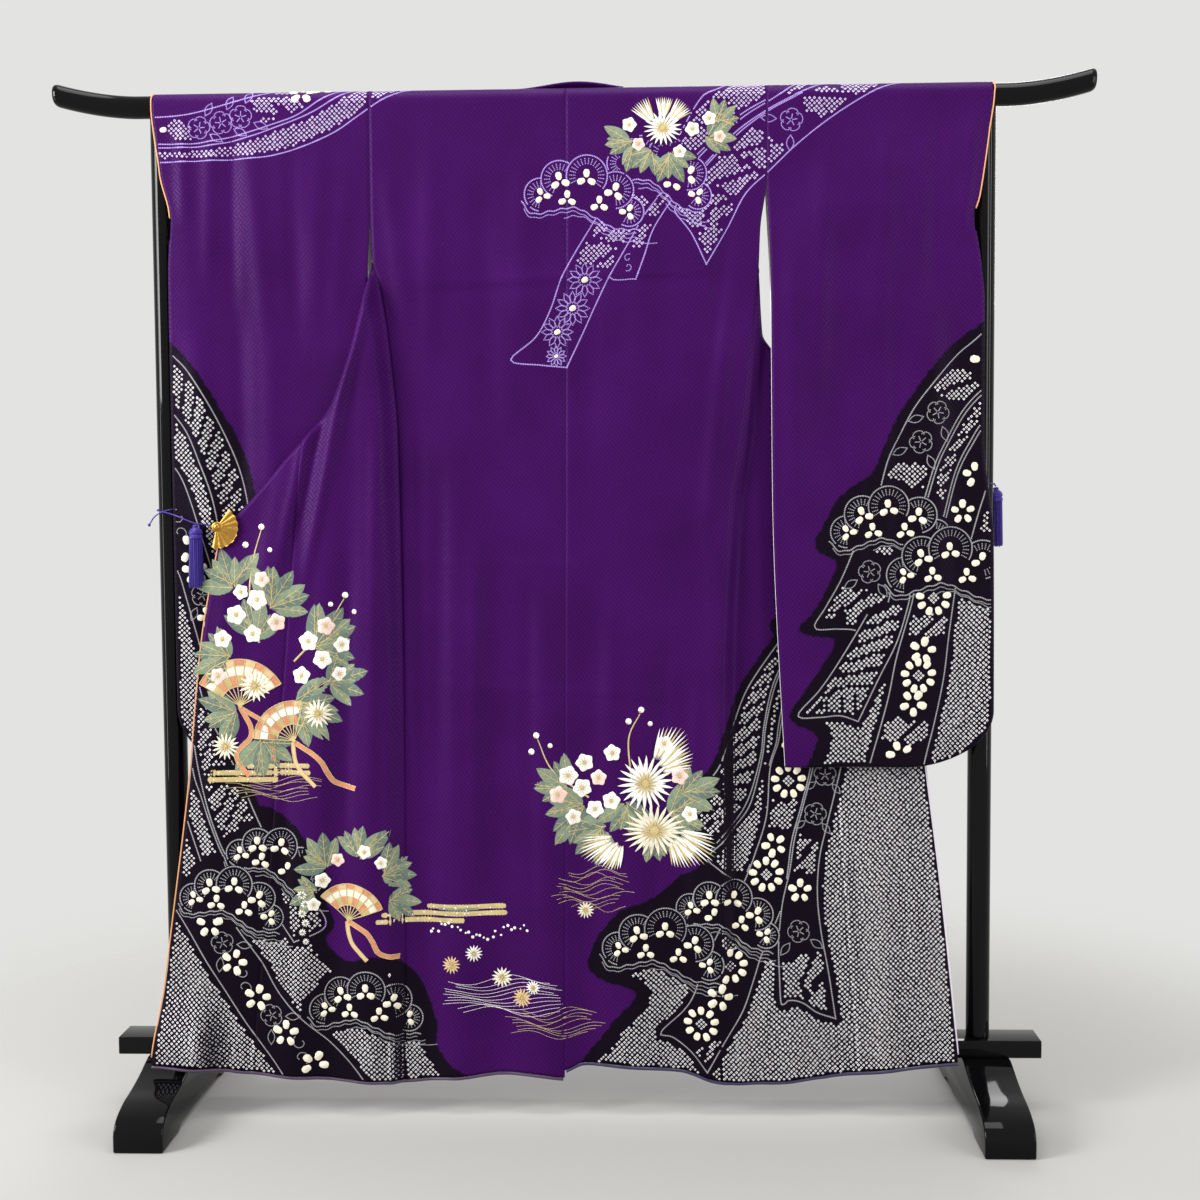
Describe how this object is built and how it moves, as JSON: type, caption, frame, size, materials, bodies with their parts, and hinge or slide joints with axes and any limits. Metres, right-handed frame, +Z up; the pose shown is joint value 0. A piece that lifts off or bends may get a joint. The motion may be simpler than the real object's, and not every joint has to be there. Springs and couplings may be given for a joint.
{
  "type": "furisode kimono on kimono stand",
  "caption": "Long-sleeved silk kimono shown from the back, spread along the bar of a lacquered stand, its front edges turned outwards and held by cords with fan clips and tassels.",
  "frame": {"origin": "on the floor, under the middle of the stand", "axes": "X along the bar, towards the garment's own right sleeve as seen from the back; Y from the garment's back to its front; Z up"},
  "size_m": [1.632, 0.42, 1.6419],
  "materials": {
    "silk": "purple figured silk with a soft sheen, dyed, stitched and embroidered",
    "hem_silk": "padded silk roll, gold flecked on the left half",
    "lining_edge": "peach silk edge",
    "lacquer": "glossy black lacquer on wood",
    "cord": "blue violet silk cord and strands",
    "gilt": "gilt metal fan clip"
  },
  "bodies": {
    "root": {"body_left": "silk", "okumi_left": "silk", "sleeve_left": "silk", "hem_roll_left": "hem_silk", "front_piping_left": "lining_edge", "wrist_piping_left": "lining_edge", "stand_post_left": "lacquer", "stand_foot_left": "lacquer", "clip_left": "gilt", "cord_left": "cord", "tassel_left": "cord", "body_right": "silk", "okumi_right": "silk", "sleeve_right": "silk", "hem_roll_right": "hem_silk", "front_piping_right": "lining_edge", "wrist_piping_right": "lining_edge", "stand_post_right": "lacquer", "stand_foot_right": "lacquer", "clip_right": "gilt", "cord_right": "cord", "tassel_right": "cord", "collar": "silk", "stand_bar": "lacquer", "stand_board": "lacquer"}
  },
  "joints": []
}
